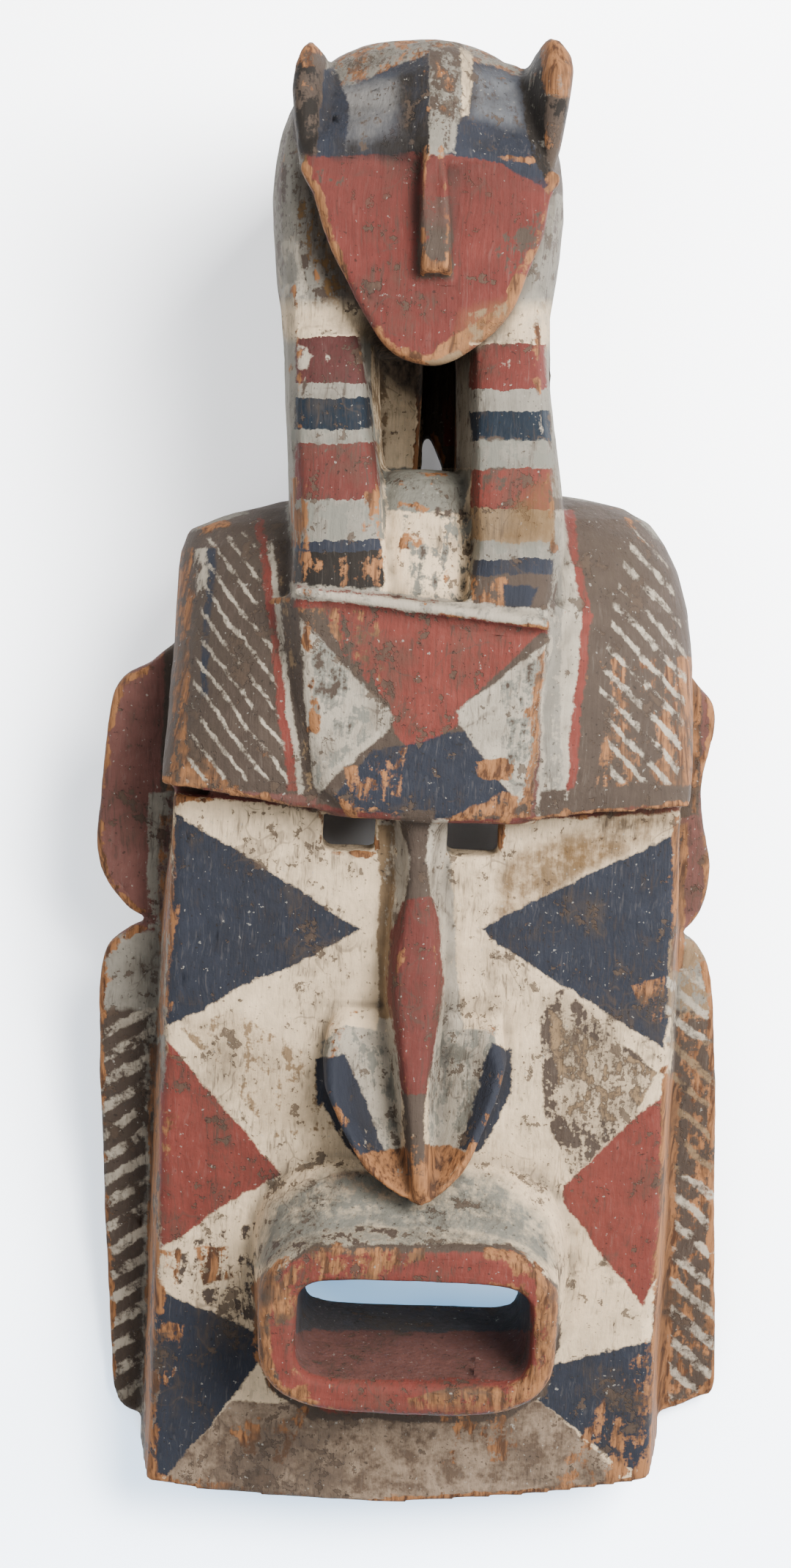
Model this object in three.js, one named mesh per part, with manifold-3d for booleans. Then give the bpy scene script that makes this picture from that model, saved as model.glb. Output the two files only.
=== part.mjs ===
// A carved wooden face mask with an animal standing on its crown, lying face up on its back rim.
// Millimetres. X runs across the face, Y from the chin to the crest, Z out of the floor.
// The rear rim is the plane z = 0. The face plate leans, with its chin end lower.
// Face sizes are given as u across, v up the plate from the chin and w out of the plate.
// Crest sizes are given level with the floor, with y read on a rule that the crown carries.

import * as THREE from 'three';
import Module from 'manifold-3d';

const wasm = await Module();
wasm.setup();

// Sizes that drive the rest

const WIDTH = 336;
const LENGTH = 740;
const HEIGHT = 217;
const TILT = 12;
const CHIN_HEIGHT = 55;
const HALF_WIDTH = 128;
const PLATE = 19;
const WALL = 17;
const FLARE = 7;
const FLAP_FRONT = -50;
const FLAP_BACK = -62;
const BROW_Y = 346;
const CROWN_Y = 511;
const CREST_LEAN = 3;
const CREST_X = -8;
const CREST_SINK = 41;
const CREST_MARK = 470;
const EAR_BACK = 132;
const MOUTH_OUT = 62;
const MOUTH_IN = 40;
const NOSE_TIP = 50;
const FLOOR_CUT = -40;

// Where a face size and a crest size come to lie

const rad = THREE.MathUtils.degToRad;
const FACE = new THREE.Matrix4().makeRotationX(rad(TILT)).setPosition(0, 0, CHIN_HEIGHT);
const LEVEL = new THREE.Matrix4();
const shifted = (x, y) => new THREE.Matrix4().makeTranslation(x, y, 0);
const LEGS = shifted(0, CROWN_Y - CREST_SINK - CREST_MARK);
const CREST = shifted(CREST_X, CROWN_Y - CREST_SINK)
  .multiply(new THREE.Matrix4().makeRotationZ(rad(CREST_LEAN)))
  .multiply(shifted(0, -CREST_MARK));
const alongDome = (share) => BROW_Y + share * (CROWN_Y - BROW_Y);

// A closed set of triangles becomes a solid, with its faces turned outwards

function solid(points, faces, place) {
  const at = points.map((p) => new THREE.Vector3(...p).applyMatrix4(place));
  let volume = 0;
  for (const [a, b, c] of faces) {
    volume += at[a].dot(new THREE.Vector3().crossVectors(at[b], at[c]));
  }
  const turned = volume < 0 ? faces.map(([a, b, c]) => [a, c, b]) : faces;
  const mesh = new wasm.Mesh({
    numProp: 3,
    vertProperties: Float32Array.from(at.flatMap((p) => [p.x, p.y, p.z])),
    triVerts: Uint32Array.from(turned.flat()),
  });
  mesh.merge();
  return new wasm.Manifold(mesh);
}

// Rings of equal count are skinned one to the next, and both ends are closed

function loft(rings, place) {
  const count = rings[0].length;
  const points = rings.flat();
  const faces = [];
  for (let r = 0; r + 1 < rings.length; r += 1) {
    for (let i = 0; i < count; i += 1) {
      const j = (i + 1) % count;
      const a = r * count + i;
      const b = r * count + j;
      faces.push([a, b, b + count], [a, b + count, a + count]);
    }
  }
  const flat = (ring, base, flip) => {
    const middle = [0, 1, 2].map((k) => ring.reduce((sum, p) => sum + p[k], 0) / count);
    points.push(middle);
    const m = points.length - 1;
    for (let i = 0; i < count; i += 1) {
      const j = (i + 1) % count;
      faces.push(flip ? [base + j, base + i, m] : [base + i, base + j, m]);
    }
  };
  flat(rings[0], 0, true);
  flat(rings[rings.length - 1], (rings.length - 1) * count, false);
  return solid(points, faces, place);
}

// A ring in the plane of two axes, from a boxy ellipse: power 2 is round, 4 is nearly square

function boxyRing(count, left, right, low, high, power) {
  const ring = [];
  const cx = (left + right) / 2;
  const cy = (low + high) / 2;
  for (let i = 0; i < count; i += 1) {
    const t = (i / count) * Math.PI * 2;
    const c = Math.cos(t);
    const s = Math.sin(t);
    const px = Math.sign(c) * Math.abs(c) ** (2 / power);
    const py = Math.sign(s) * Math.abs(s) ** (2 / power);
    ring.push([cx + (px * (right - left)) / 2, cy + (py * (high - low)) / 2]);
  }
  return ring;
}

// An arch on two upright walls, in x and z, from the left foot over to the right foot

function archRing(left, right, shoulder, top, power, count) {
  const ring = [[left, FLOOR_CUT]];
  const half = (right - left) / 2;
  const middle = (right + left) / 2;
  for (let i = 0; i <= count; i += 1) {
    const t = Math.PI - (i / count) * Math.PI;
    const c = Math.cos(t);
    const s = Math.sin(t);
    const px = Math.sign(c) * Math.abs(c) ** (2 / power);
    const pz = Math.abs(s) ** (2 / power);
    ring.push([middle + px * half, shoulder + pz * (top - shoulder)]);
  }
  ring.push([right, FLOOR_CUT]);
  return ring;
}

// A smooth closed outline through a few points, in the plane of two axes

function outline(points, steps, tension = 0.5) {
  const path = points.map(([x, y]) => new THREE.Vector3(x, y, 0));
  const curve = new THREE.CatmullRomCurve3(path, true, 'catmullrom', tension);
  return curve.getPoints(steps).slice(0, steps).map((p) => [p.x, p.y]);
}

// A flat board from an outline, between two heights

function board(points, low, high, place, inset = 0) {
  const n = points.length;
  const cx = points.reduce((sum, p) => sum + p[0], 0) / n;
  const cy = points.reduce((sum, p) => sum + p[1], 0) / n;
  const shrink = (k) => points.map(([x, y]) => {
    const far = Math.hypot(x - cx, y - cy);
    const scale = 1 - (inset * k) / far;
    return [cx + (x - cx) * scale, cy + (y - cy) * scale];
  });
  const level = (ring, h) => ring.map(([x, y]) => [x, y, h]);
  const rings = inset
    ? [level(shrink(1), low), level(shrink(0), low + inset), level(shrink(0), high - inset),
      level(shrink(1), high)]
    : [level(points, low), level(points, high)];
  return loft(rings, place);
}

// The plate ends at the chin in a shallow bow, lowest a little left of the middle

const chinBow = (u) => -8 + 0.0006 * (u + 42) ** 2;
const plateLeft = (v) => -(HALF_WIDTH - 2 + 6 * (1 - v / 369));
const plateRight = (v) => HALF_WIDTH - 4 + 4.5 * (1 - v / 369);

// The face board with its two side walls, as one block that runs back past the rim

function faceBlock() {
  const rings = [0, 0.17, 0.35, 0.52, 0.69, 0.87, 0.955, 1.046].map((share, index) => {
    const v = share * BROW_Y;
    const left = plateLeft(v);
    const right = plateRight(v);
    const flare = FLARE * (1 - THREE.MathUtils.smoothstep(share, 0.81, 1.046)) + 2;
    const ring = [
      [left - flare, -150],
      [left - flare, FLAP_FRONT - 5],
      [left - 1, -8],
      [left + 0.6, -5],
      [left + 4, -3.4],
    ];
    for (const s of [-0.8, -0.55, -0.3, 0, 0.3, 0.55, 0.8]) {
      ring.push([s * HALF_WIDTH, -4 * s * s]);
    }
    ring.push(
      [right - 4, -3.4],
      [right - 0.6, -5],
      [right + 1, -8],
      [right + flare, FLAP_FRONT - 5],
      [right + flare, -150],
    );
    const bow = index === 0 ? 1 : 0;
    return ring.map(([u, w]) => [u, v + bow * chinBow(Math.max(-130, Math.min(128, u))), w]);
  });
  return loft(rings, FACE);
}

// The hollow behind the face board, open at the chin end and at the back

function faceHollow() {
  const rings = [-40, BROW_Y / 2, BROW_Y - 2].map((v) => {
    const left = plateLeft(v) + WALL;
    const right = plateRight(v) - WALL;
    return [
      [left - FLARE, v, -220],
      [left - FLARE, v, FLAP_FRONT - 5],
      [left, v, -PLATE - 14],
      [left + 6, v, -PLATE - 3],
      [left + 20, v, -PLATE],
      [0, v, -PLATE + 1],
      [right - 20, v, -PLATE],
      [right - 6, v, -PLATE - 3],
      [right, v, -PLATE - 14],
      [right + FLARE, v, FLAP_FRONT - 5],
      [right + FLARE, v, -220],
    ];
  });
  return loft(rings, FACE);
}

// Stations of the helmet dome from brow to crown: share of the way, left, right, shoulder height,
// top height, power

const DOME = [
  [0, -131.5, 126.5, 146, 160, 3.4],
  [0.176, -132, 128.5, 130, 168, 2.8],
  [0.327, -131.5, 129, 118, 172, 2.6],
  [0.479, -131, 128.5, 108, 173, 2.5],
  [0.63, -131, 126, 101, 170, 2.4],
  [0.752, -130.5, 121, 97, 163, 2.4],
  [0.836, -130, 114, 94, 154, 2.4],
  [0.903, -127, 106, 91, 143, 2.4],
  [0.952, -110, 93, 86, 128, 2.5],
  [0.988, -86, 73, 78, 110, 2.6],
  [1, -78, 64, 74, 101, 2.7],
];

// The crown end lies square to the crest, not to the face

const crownSkew = (x, share) => (
  alongDome(share) + x * 0.055 * THREE.MathUtils.smoothstep(share, 0.2, 0.81));

// The dome that covers the head, from the brow to the crown

function domeBlock() {
  const rings = DOME.map(([share, left, right, shoulder, top, power], index) => {
    const ring = archRing(left, right, shoulder, top, power, 26);
    return ring.map(([x, z]) => {
      const lift = index === 0 ? 14 * Math.abs(x / HALF_WIDTH) ** 1.3 : 0;
      return [x, crownSkew(x, share) + lift, z];
    });
  });
  return loft(rings, LEVEL);
}

// The hollow for the head, inside the dome

function domeHollow() {
  const rows = [
    [-0.17, 0, 92, 3.4], [0, 0, 99, 3.4], [0.085, 0, 116, 3], [0.206, 0, 136, 2.7],
    [0.358, 0, 147, 2.5], [0.57, -2, 146, 2.4], [0.703, -6, 136, 2.4], [0.8, -18, 118, 2.4],
    [0.861, -40, 92, 2.4],
  ];
  const rings = rows.map(([share, inset, top, power]) => {
    const ring = archRing(-111 - inset, 108 + inset, 62, top, power, 20);
    return ring.map(([x, z]) => [x, crownSkew(x, share), z]);
  });
  return loft(rings, LEVEL);
}

// The flat lobes that stand out of both side walls, upper and lower

function flaps() {
  const lowerLeft = outline([
    [-120, 10], [-137, 12], [-154, 21], [-158, 60], [-161, 110], [-165, 180], [-167, 240],
    [-165, 266], [-157, 277], [-142, 285], [-120, 287],
  ], 40);
  const upperLeft = outline([
    [-120, 288.5], [-141, 287], [-152, 291], [-165, 307], [-169.5, 328], [-168, 350],
    [-165, 388], [-160, 408], [-146, 418], [-120, 425],
  ], 36);
  const lowerRight = outline([
    [118, 22], [135, 24], [158, 34], [166, 42], [163.5, 90], [159, 160], [155, 225],
    [151, 263], [145, 280], [135, 288], [118, 290],
  ], 40);
  const upperRight = outline([
    [118, 291.5], [133, 290], [143, 302], [146, 324], [142, 345], [139, 368], [142, 388],
    [144, 404], [138, 415], [118, 421],
  ], 36);
  return [lowerLeft, upperLeft, lowerRight, upperRight]
    .map((points) => board(points, FLAP_BACK, FLAP_FRONT, FACE, 2.5));
}

// The raised band up the middle of the dome, with sloping sides

function panel() {
  const rows = [
    [0.012, -38, 37, 163], [0.036, -42, 40, 166], [0.109, -55, 45, 169], [0.327, -60, 47, 178],
    [0.509, -64, 49.5, 183.5], [0.642, -66.5, 51, 186],
  ];
  const rings = rows.map(([share, left, right, top]) => [
    [left - 16, top - 26], [left - 4, top - 6], [left, top - 1.2], [left + 3, top],
    [right - 3, top], [right, top - 1.2], [right + 4, top - 6], [right + 16, top - 26],
  ].map(([x, z]) => [x, alongDome(share), z]));
  return loft(rings, LEVEL);
}

// The thin bar across the head of the band

function lipBar() {
  const rows = [[-68.5, 4], [-40, 1.5], [-8, -1.5], [24, -4.5], [52.5, -7.5]];
  const rings = rows.map(([x, y]) => boxyRing(12, -2.8, 2.8, 176, 191.5, 4)
    .map(([a, z]) => [x, alongDome(0.63) + y + a, z]));
  return loft(rings, LEVEL);
}

// One front leg of the animal: y, outer edge, inner edge, front height

function frontLeg(rows, outward) {
  const rings = rows.map(([y, outer, inner, front]) => {
    const swell = outward * 6.5;
    const slope = -outward * 7;
    return [
      [outer + swell * 0.3, y, 106], [outer + swell, y, 126], [outer + swell * 0.85, y, 150],
      [outer + swell * 0.45, y, front - 12], [outer - outward * 2, y, front - 2],
      [outer - outward * 10, y, front],
      [inner + outward * 8, y, front], [inner + outward * 2, y, front - 2],
      [inner, y, front - 7], [inner + slope, y, 116], [inner + slope * 0.6, y, 106],
    ];
  });
  return loft(rings, LEGS);
}

function frontLegs() {
  const left = [
    [450, -67, -23.5, 186], [458, -67, -23.5, 187], [478, -66.5, -27, 187],
    [500, -68.5, -30, 188], [530, -71, -37, 188], [560, -73, -40, 186], [600, -77, -42, 178],
  ];
  const right = [
    [442, 50, 13, 186], [450, 51, 13, 187], [480, 55.5, 17, 187], [500, 54, 15, 188],
    [530, 49, 13.4, 188], [560, 45, 12, 186], [600, 43, 9, 178],
  ];
  return [frontLeg(left, -1), frontLeg(right, 1)];
}

// The keel between the front legs, rising out of the dome

function keel() {
  const rows = [
    [440, 176, 24], [456, 178, 24], [478, 176, 24], [498, 170, 24], [510, 161, 24],
    [516, 151, 22], [519, 138, 18],
  ];
  const rings = rows.map(([y, top, half]) => boxyRing(20, -9 - half, -9 + half, 80, top, 3.2)
    .map(([x, z]) => [x, y, z]));
  return loft(rings, LEGS);
}

// The two hind legs, close together at the back, with a narrow gap between them

function hindLegs() {
  const rows = [
    [498, 58, 26, 72], [520, 58, 26, 72], [556, 60, 26, 76], [580, 63, 26, 90], [610, 64, 28, 96],
  ];
  const rings = rows.map(([y, half, low, high]) => boxyRing(28, -half, half, low, high, 3)
    .map(([x, z]) => [x, y, z]));
  return loft(rings, CREST);
}

function hindGap() {
  const slot = [[-12, 500], [5, 500], [0, 534], [-8.2, 552], [-10.6, 552], [-10, 534]];
  const recess = [[-12.5, 520], [6.5, 520], [6, 583], [-11.5, 583]];
  return wasm.Manifold.union([board(slot, -10, 98, LEGS), board(recess, 43, 98, LEGS)]);
}

// The barrel of the body: height, scale of its plan

function body() {
  const plan = [];
  const steps = 30;
  for (let i = 0; i <= steps; i += 1) {
    const t = (i / steps) * Math.PI;
    const c = Math.cos(t);
    const s = Math.sin(t);
    plan.push([72 * Math.sign(c) * Math.abs(c) ** 0.82, 642 + 86 * Math.abs(s) ** 0.82]);
  }
  plan.push([-70, 612], [-67, 590], [-62, 583], [-30, 580], [0, 579], [30, 580], [60, 583],
    [64.5, 590], [68, 612]);
  const rows = [
    [28, 0.72], [34, 0.84], [50, 0.93], [80, 0.985], [124, 1], [150, 0.975], [166, 0.92],
    [176, 0.84], [181, 0.72],
  ];
  const rings = rows.map(([z, k]) => plan.map(([x, y]) => {
    const keep = 1 - (1 - k) * 0.5;
    return [x * k, y > 642 ? 642 + (y - 642) * k : 642 + (y - 642) * keep, z];
  }));
  return loft(rings, CREST);
}

// The animal's face: a shield with a blunt chin

function shield() {
  const half = outline([
    [-53, 658], [-49, 640], [-43, 618], [-35, 600], [-25, 581], [-13.5, 566.5], [4, 560.5],
    [19, 564.5], [34, 575], [43.5, 587], [51, 605], [57.5, 620], [61, 637], [63, 651], [0, 664],
  ], 48);
  const rows = [[140, 0.72], [165, 0.86], [186, 0.95], [197, 0.995], [202, 1.0], [205, 0.975]];
  const rings = rows.map(([z, k]) => half.map(([x, y]) => [x * k, 625 + (y - 625) * k, z]));
  return loft(rings, CREST);
}

// The forehead: two slopes that fall back from a middle ridge

function forehead() {
  const rows = [
    [654, 56, 206, 209], [659, 57, 207, 212], [680, 58, 190, 207], [698, 57, 176, 199],
    [709, 47, 167, 190], [717, 30, 158, 180],
  ];
  const drop = (x, y) => y - 0.09 * (x + 6) * THREE.MathUtils.smoothstep(700 - y, 0, 40);
  const rings = rows.map(([y, half, side, ridge]) => [
    [-half, y, 130], [-half, y, side - 6], [-half + 6, y, side - 1], [-7, y, ridge - 5],
    [4, y, ridge - 0.6], [12, y, ridge - 0.4], [22, y, ridge - 5], [half - 4, y, side - 1],
    [half + 2, y, side - 6], [half + 2, y, 130],
  ].map(([x, at, z]) => [x, drop(x, at), z]));
  return loft(rings, CREST);
}

// The upright ears at both corners of the forehead: y, inner edge, outer edge, front, slope inwards

function ear(side, rows) {
  const rings = rows.map(([y, inner, outer, front, slope]) => (
    boxyRing(20, inner, outer, EAR_BACK, front, 3.4).map(([x, z]) => {
      const deep = (front - z) / (front - EAR_BACK);
      const lean = x < (inner + outer) / 2 ? slope * 2.1 : slope * 0.7;
      return [side * (x - lean * deep), y, z];
    })));
  return loft(rings, CREST);
}

function ears() {
  const left = [
    [657, 49, 57.5, 200, 3], [664, 47.5, 58.5, 204, 7], [676, 47, 60, 205, 10],
    [692, 47.5, 61, 204, 11], [703, 47, 59.5, 201, 9], [711, 46.5, 56, 197, 5],
    [714.5, 48, 52.5, 191, 2],
  ];
  const right = [
    [645, 58.5, 63, 196, 1], [652, 58, 65, 201, 5], [664, 57.5, 68.5, 205, 8],
    [686, 58, 73.5, 206, 10], [698, 58.5, 75, 204, 9], [705, 59, 73.5, 201, 6],
    [712, 59.5, 68.5, 196, 3], [714.5, 60.5, 64.5, 190, 1],
  ];
  return [ear(-1, left), ear(1, right)];
}

// The nose bar of the animal's face, set a little off the middle

function crestNose() {
  const rows = [[200, 1.8], [214, 0.6], [217, -0.8]];
  const rings = rows.map(([z, more]) => [
    [2 - more, 660, z - 4], [11 + more, 660, z - 4], [12.6 + more, 640, z],
    [13.6 + more, 601.5 - more, z], [0.4 - more, 601.5 - more, z], [0.8 - more, 640, z],
  ]);
  return loft(rings, CREST);
}

// Stations of the nose: v, middle, ridge half width, ridge height, foot half width

const NOSE = [
  [376, -4, 10, 23, 15], [362, -4, 9, 22, 15], [345, -4, 6, 21, 14], [326, -4, 5, 22, 14],
  [305, -4, 8, 25, 16], [288, -4, 10, 28, 16], [265, -3.5, 9, 32, 16], [240, -2.5, 6, 37, 15],
  [221, -1, 4.5, 41, 15], [200, 1, 4, 46, 15], [184, 2.5, 4, NOSE_TIP, 14],
  [173, 3, 3.5, NOSE_TIP - 3, 9],
];

// The ridge of the nose, narrow at the eyes and broad half way down

function noseRidge() {
  const rings = NOSE.map(([v, middle, half, height, foot]) => [
    [middle - foot, v, -6], [middle - foot, v, 0], [middle - half - 2, v, height - 9],
    [middle - half, v, height - 2], [middle - half * 0.6, v, height],
    [middle + half * 0.6, v, height], [middle + half, v, height - 2],
    [middle + half + 2, v, height - 9], [middle + foot, v, 0], [middle + foot, v, -6],
  ]);
  return loft(rings, FACE);
}

// The two wings: outlines that stand out of the plate, hollowed towards the ridge

function noseWings() {
  const rows = [
    [258, -42, 40, 4, -36, 34, 2], [250, -46, 42, 12, -41, 37, 3], [236, -48, 44, 24, -44, 40.5, 6],
    [222, -46.5, 41, 31, -43, 37, 10], [206, -39, 34, 36, -35, 30, 16], [196, -33, 29.5, 40, -28.5, 26, 24],
    [187, -26, 24.5, 43, -21, 20.5, 34], [181, -18, 19, 44.5, -13, 15, 41], [175, -8, 11, 45, -4, 8, 44.5],
  ];
  const rings = rows.map(([v, left, right, height, edgeLeft, edgeRight, groove]) => {
    const under = Math.max(0, 190 - v) * 0.35;
    const half = (height + groove) / 2;
    return [
      [left, v + under, -6], [left, v + under * 0.5, height * 0.45],
      [edgeLeft - 2, v, height - 2], [edgeLeft + 1.5, v, height],
      [edgeLeft * 0.76, v, half], [edgeLeft * 0.32, v, groove], [edgeRight * 0.32, v, groove],
      [edgeRight * 0.76, v, half], [edgeRight - 1.5, v, height], [edgeRight + 2, v, height - 2],
      [right, v + under * 0.5, height * 0.45], [right, v + under, -6],
    ];
  });
  return loft(rings, FACE);
}

// The mouth: a broad rounded pipe that stands out of the plate

function mouthPipe() {
  const rows = [
    [-MOUTH_IN, -68, 68, 72, 156, 3.6], [-PLATE, -70, 70, 70, 160, 3.4],
    [-8, -84, 84, 58, 184, 3.2], [4, -80, 80, 62, 180, 3.2], [24, -76, 76, 66, 169, 3.3],
    [46, -75, 74, 68, 160.5, 3.4], [MOUTH_OUT - 4, -74.5, 73, 68.5, 158, 3.4],
    [MOUTH_OUT, -72, 70.5, 71, 155.5, 3.4],
  ];
  const rings = rows.map(([w, left, right, low, high, power]) => (
    boxyRing(40, left, right, low, high, power).map(([u, v]) => [u, v, w])));
  return loft(rings, FACE);
}

function mouthHole() {
  const rows = [
    [MOUTH_OUT + 6, -60, 64, 80, 143, 5], [MOUTH_OUT - 4, -56, 60, 85.5, 138, 5.5],
    [MOUTH_OUT - 40, -55, 58, 86, 137, 7], [-60, -55, 58, 86, 137, 7],
  ];
  const rings = rows.map(([w, left, right, low, high, power]) => (
    boxyRing(32, left, right, low, high, power).map(([u, v]) => [u, v, w])));
  return loft(rings, FACE);
}

// The two square eye holes, tight under the brow

function eyeHoles() {
  const low = BROW_Y - 7;
  const high = BROW_Y + 14;
  return [[-51.5, -27], [10, 34]].map(([left, right]) => {
    const rings = [[-60, 2], [-PLATE, 1], [20, 0]].map(([w, more]) => [
      [left - more, low - more, w], [right + more, low - more, w],
      [right + more, high, w], [left - more, high, w],
    ]);
    return loft(rings, FACE);
  });
}

// Everything is carved from one block: joined, hollowed, then cut flat at the rear rim

function floorBlock() {
  const points = [[-400, -200], [400, -200], [400, 900], [-400, 900]];
  return board(points, -400, 0, LEVEL);
}

function carvedMask() {
  const shell = wasm.Manifold.union([faceBlock(), domeBlock(), ...flaps()]);
  const hollow = wasm.Manifold.union([faceHollow(), domeHollow()]);
  const raised = wasm.Manifold.union([
    panel(), lipBar(), ...frontLegs(), keel(), hindLegs(), body(), shield(), forehead(),
    ...ears(), crestNose(), noseRidge(), noseWings(),
  ]);
  return wasm.Manifold.union([shell, raised])
    .subtract(hollow)
    .add(mouthPipe())
    .subtract(wasm.Manifold.union([mouthHole(), ...eyeHoles(), hindGap(), floorBlock()]));
}

// A solid becomes a drawable geometry, brought to its overall sizes, with the middle of its base
// at the origin

function geometryOf(part) {
  const mesh = part.getMesh();
  const geometry = new THREE.BufferGeometry();
  const positions = new Float32Array(mesh.numVert * 3);
  for (let i = 0; i < mesh.numVert; i += 1) {
    for (let k = 0; k < 3; k += 1) {
      positions[i * 3 + k] = mesh.vertProperties[i * mesh.numProp + k];
    }
  }
  geometry.setAttribute('position', new THREE.BufferAttribute(positions, 3));
  geometry.setIndex(new THREE.BufferAttribute(Uint32Array.from(mesh.triVerts), 1));
  geometry.computeBoundingBox();
  const { min, max } = geometry.boundingBox;
  geometry.translate(-(min.x + max.x) / 2, -(min.y + max.y) / 2, -min.z);
  geometry.scale(WIDTH / (max.x - min.x), LENGTH / (max.y - min.y), HEIGHT / (max.z - min.z));
  geometry.computeVertexNormals();
  return geometry;
}

const wood = new THREE.MeshStandardMaterial({ color: 0xb89f86, roughness: 0.85, metalness: 0 });
const mask = new THREE.Mesh(geometryOf(carvedMask()), wood);
mask.name = 'mask';

const whole = new THREE.Group();
whole.name = 'carved_mask';
whole.add(mask);

export default whole;
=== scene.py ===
"""A carved and painted wooden face mask with an animal on its crown, lying face up on a pale floor."""

import math

import bpy
import bmesh
import numpy as np
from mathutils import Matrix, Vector, noise
from mathutils.bvhtree import BVHTree


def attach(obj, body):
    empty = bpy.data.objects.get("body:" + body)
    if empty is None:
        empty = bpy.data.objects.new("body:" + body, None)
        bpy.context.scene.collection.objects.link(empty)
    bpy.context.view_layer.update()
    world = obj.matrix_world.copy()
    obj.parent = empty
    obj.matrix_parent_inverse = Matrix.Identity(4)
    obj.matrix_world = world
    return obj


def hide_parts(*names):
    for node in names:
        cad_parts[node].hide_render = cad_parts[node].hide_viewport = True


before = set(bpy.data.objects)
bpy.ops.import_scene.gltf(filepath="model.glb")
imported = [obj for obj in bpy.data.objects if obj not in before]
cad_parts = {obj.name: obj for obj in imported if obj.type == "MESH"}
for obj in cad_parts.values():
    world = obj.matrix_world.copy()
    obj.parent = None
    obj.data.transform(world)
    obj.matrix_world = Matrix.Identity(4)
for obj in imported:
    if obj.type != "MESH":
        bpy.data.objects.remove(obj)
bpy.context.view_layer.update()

# Camera. The photograph is taken straight down from about 1.5 m, and the mask lies turned a
# little clockwise under it, so the camera is rolled by that much instead.

CAMERA_AT = (-0.0155, 0.0050, 1.5)
CAMERA_ROLL = math.radians(2.27)
SENSOR_MM = 36.0
LENS_MM = 63.7

eye = bpy.data.objects.new("camera", bpy.data.cameras.new("camera"))
eye.location = CAMERA_AT
eye.rotation_euler = (0.0, 0.0, CAMERA_ROLL)
eye.data.sensor_width = SENSOR_MM
eye.data.lens = LENS_MM
bpy.context.scene.collection.objects.link(eye)
bpy.context.scene.camera = eye

# Mask body. One block of light wood, hollowed at the back and cut with an adze and a knife.
# The frame's solid is copied, skinned evenly and softened, then given tool marks and wear.

VOXEL = 0.0019
SOFTENING = 2
FACES_KEPT = 100000
LONGEST = 0.0075
ROUNDS_OF_CUTS = 3
ADZE_DEPTH = 0.0007
ADZE_PER_METRE = 32.0
KNIFE_DEPTH = 0.0003
KNIFE_PER_METRE = 115.0
FLAT_RIM = 0.004
PROUD_FULL = 0.0011
HOLLOW_FULL = 0.0013
FACES_DOWN = -0.12

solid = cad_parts["mask"]
mesh = solid.data.copy()
mesh.transform(solid.matrix_world)
mesh.materials.clear()
bm = bmesh.new()
bm.from_mesh(mesh)
bmesh.ops.remove_doubles(bm, verts=bm.verts, dist=0.00001)
bmesh.ops.recalc_face_normals(bm, faces=bm.faces)
bm.to_mesh(mesh)
bm.free()

mask = bpy.data.objects.new("mask_body", mesh)
bpy.context.scene.collection.objects.link(mask)
remesh = mask.modifiers.new("skin", "REMESH")
remesh.mode = "VOXEL"
remesh.voxel_size = VOXEL
remesh.use_smooth_shade = True
soft = mask.modifiers.new("soft", "SMOOTH")
soft.factor = 0.5
soft.iterations = SOFTENING
thin = mask.modifiers.new("thin", "DECIMATE")
thin.ratio = 1.0
graph = bpy.context.evaluated_depsgraph_get()
dense = mask.evaluated_get(graph)
thin.ratio = min(1.0, FACES_KEPT / sum(len(p.vertices) - 2 for p in dense.data.polygons))
graph = bpy.context.evaluated_depsgraph_get()
baked = bpy.data.meshes.new_from_object(mask.evaluated_get(graph))
mask.modifiers.clear()
mask.data = baked
bm = bmesh.new()
bm.from_mesh(baked)
for _ in range(ROUNDS_OF_CUTS):
    long_edges = [e for e in bm.edges if e.calc_length() > LONGEST]
    bmesh.ops.subdivide_edges(bm, edges=long_edges, cuts=1, use_grid_fill=False)
    bmesh.ops.triangulate(bm, faces=[f for f in bm.faces if len(f.verts) > 3])
bm.to_mesh(baked)
bm.free()
for polygon in baked.polygons:
    polygon.use_smooth = True

# Hand-cut wood is a little uneven everywhere but on the rim it lies on. Where the surface stands
# proud it gets rubbed, where it is hollow it is darkened, and what has nothing above it was painted.

at = np.empty(len(baked.vertices) * 3)
facing = np.empty(len(baked.vertices) * 3)
baked.vertices.foreach_get("co", at)
baked.vertices.foreach_get("normal", facing)
at = at.reshape(-1, 3)
facing = facing.reshape(-1, 3)
uneven = np.array([ADZE_DEPTH * noise.noise(Vector(p) * ADZE_PER_METRE)
                   + KNIFE_DEPTH * noise.noise(Vector(p) * KNIFE_PER_METRE) for p in at])
uneven[at[:, 2] < FLAT_RIM] = 0.0
at = at + facing * uneven[:, None]
baked.vertices.foreach_set("co", at.ravel())
baked.update()
facing = facing.ravel()
baked.vertices.foreach_get("normal", facing)
facing = facing.reshape(-1, 3)
pairs = np.empty(len(baked.edges) * 2, dtype=np.int64)
baked.edges.foreach_get("vertices", pairs)
pairs = pairs.reshape(-1, 2)
degree = np.bincount(pairs.ravel(), minlength=len(at)).astype(float)


def spread(values, rounds):
    """Values evened out between neighbouring corners of the mesh."""
    for _ in range(rounds):
        total = np.zeros_like(values)
        for k in range(values.shape[1]):
            total[:, k] += np.bincount(pairs[:, 0], weights=values[pairs[:, 1], k], minlength=len(values))
            total[:, k] += np.bincount(pairs[:, 1], weights=values[pairs[:, 0], k], minlength=len(values))
        values = (values + total) / (1.0 + degree)[:, None]
    return values


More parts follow.
